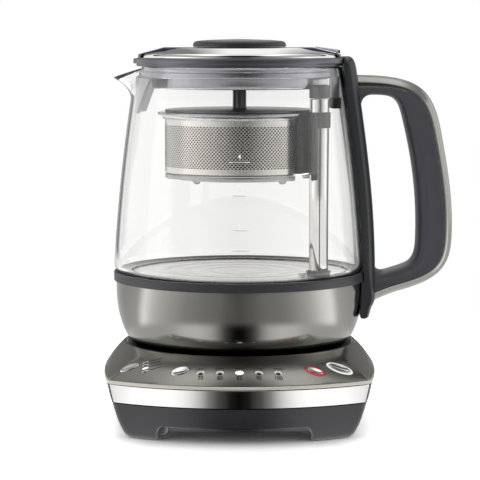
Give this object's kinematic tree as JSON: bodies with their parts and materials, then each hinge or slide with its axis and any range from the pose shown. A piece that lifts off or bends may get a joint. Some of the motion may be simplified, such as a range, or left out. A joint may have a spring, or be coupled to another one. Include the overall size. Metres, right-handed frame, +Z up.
{
  "type": "automatic tea maker",
  "caption": "Cordless electric tea maker: glass jug with steel foot, loop handle and lid, a tea basket that rides on a post inside, and a power base with a sloping control panel.",
  "frame": {"origin": "under the middle of the bounding box, at the bottom of the feet", "axes": "+Z up, +X towards the jug's handle, -Y towards the front with the controls"},
  "size_m": [0.2107, 0.1728, 0.2322],
  "materials": {
    "charcoal_plastic": "satin charcoal moulded plastic",
    "black_plastic": "glossy black moulded plastic",
    "smoked_plastic": "smoke-grey metallised plastic, glossy",
    "smoked_steel": "smoke-grey coated steel, polished",
    "chrome": "mirror polished",
    "steel": "finely brushed stainless steel",
    "grey_plastic": "satin grey moulded plastic",
    "silicone": "matt silicone seal",
    "foot_rubber": "matt rubber",
    "silver_plastic": "silver painted plastic",
    "red_light": "translucent red light guide",
    "white_light": "milky white plastic",
    "circuit_board": "green circuit board",
    "aluminium": "plain cast aluminium",
    "magnet": "nickel plated magnet",
    "glass": "clear heat-proof glass"
  },
  "bodies": {
    "base": {"base_tray": "charcoal_plastic", "base_housing": "black_plastic", "front_trim": "chrome", "top_cover": "smoked_plastic", "seat_ring": "black_plastic", "power_connector": "black_plastic", "control_board": "circuit_board", "power_board": "circuit_board", "warm_ring": "red_light", "start_ring": "white_light", "strength_lights": "white_light", "temperature_lights": "white_light", "strength_switch": "black_plastic", "temperature_switch": "black_plastic", "warm_switch": "black_plastic", "start_switch": "black_plastic", "foot_front_left": "foot_rubber", "foot_front_right": "foot_rubber", "foot_back_left": "foot_rubber", "foot_back_right": "foot_rubber"},
    "turning_collar": {"connector_collar": "grey_plastic"},
    "jug": {"steel_bowl": "smoked_steel", "bowl_base": "black_plastic", "jug_connector": "black_plastic", "jug_floor": "steel", "floor_seal": "silicone", "lower_collar": "charcoal_plastic", "heater_plate": "aluminium", "heating_element": "aluminium", "temperature_probe": "steel", "glass_jug": "glass", "rim_collar": "charcoal_plastic", "spout_guard": "grey_plastic", "handle_frame": "charcoal_plastic", "handle_cover": "smoked_plastic", "handle_screw_upper": "steel", "handle_screw_lower": "steel", "lift_post": "steel", "post_foot": "charcoal_plastic", "post_cap": "grey_plastic", "post_bush": "white_light", "lift_motor": "aluminium"},
    "lift_screw": {"lift_screw": "steel"},
    "magnet_carriage": {"magnet_carriage": "magnet"},
    "basket": {"basket_top_ring": "charcoal_plastic", "basket_cup": "steel", "basket_bottom_ring": "charcoal_plastic", "basket_arm": "grey_plastic", "basket_magnet": "magnet"},
    "basket_lid": {"basket_lid": "charcoal_plastic"},
    "lid": {"lid_body": "charcoal_plastic", "lid_gasket": "silicone", "lid_plate": "chrome", "lid_bridge": "charcoal_plastic", "lid_knob": "charcoal_plastic", "lid_tab": "grey_plastic"},
    "strength_button": {"strength_button": "silver_plastic"},
    "temperature_button": {"temperature_button": "silver_plastic"},
    "warm_button": {"warm_button": "silver_plastic"},
    "start_button": {"start_button": "silver_plastic"}
  },
  "joints": [
    {"name": "jug_swivel", "type": "hinge", "parent": "base", "child": "turning_collar", "pos_m": [-0.02335, 0.00395, 0.045], "axis": [0, 0, 1], "continuous": true},
    {"name": "jug_lift", "type": "slide", "parent": "turning_collar", "child": "jug", "axis": [0, 0, 1], "range_m": [0, 0.12]},
    {"name": "lid_lift", "type": "slide", "parent": "jug", "child": "lid", "axis": [0, 0, 1], "range_m": [0, 0.07]},
    {"name": "basket_lift", "type": "slide", "parent": "jug", "child": "basket", "axis": [0, 0, 1], "range_m": [-0.053, 0]},
    {"name": "basket_lid_lift", "type": "slide", "parent": "basket", "child": "basket_lid", "axis": [0, 0, 1], "range_m": [0, 0.009]},
    {"name": "carriage_slide", "type": "slide", "parent": "jug", "child": "magnet_carriage", "axis": [0, 0, 1], "range_m": [-0.053, 0]},
    {"name": "screw_spin", "type": "hinge", "parent": "jug", "child": "lift_screw", "pos_m": [0.0232, -0.02571, 0.14], "axis": [0, 0, 1], "range_deg": [0, 960]},
    {"name": "strength_press", "type": "slide", "parent": "base", "child": "strength_button", "axis": [0, 0, -1], "range_m": [0, 0.0008], "stiffness_N_per_m": 500, "springref_m": -0.0004},
    {"name": "temperature_press", "type": "slide", "parent": "base", "child": "temperature_button", "axis": [0, 0, -1], "range_m": [0, 0.0008], "stiffness_N_per_m": 500, "springref_m": -0.0004},
    {"name": "warm_press", "type": "slide", "parent": "base", "child": "warm_button", "axis": [0, 0, -1], "range_m": [0, 0.0008], "stiffness_N_per_m": 500, "springref_m": -0.0004},
    {"name": "start_press", "type": "slide", "parent": "base", "child": "start_button", "axis": [0, 0, -1], "range_m": [0, 0.0008], "stiffness_N_per_m": 500, "springref_m": -0.0004}
  ],
  "couplings": [
    {"joint": "carriage_slide", "follows": "basket_lift", "ratio": 1},
    {"joint": "screw_spin", "follows": "basket_lift", "rad_per_m": -314.16}
  ]
}
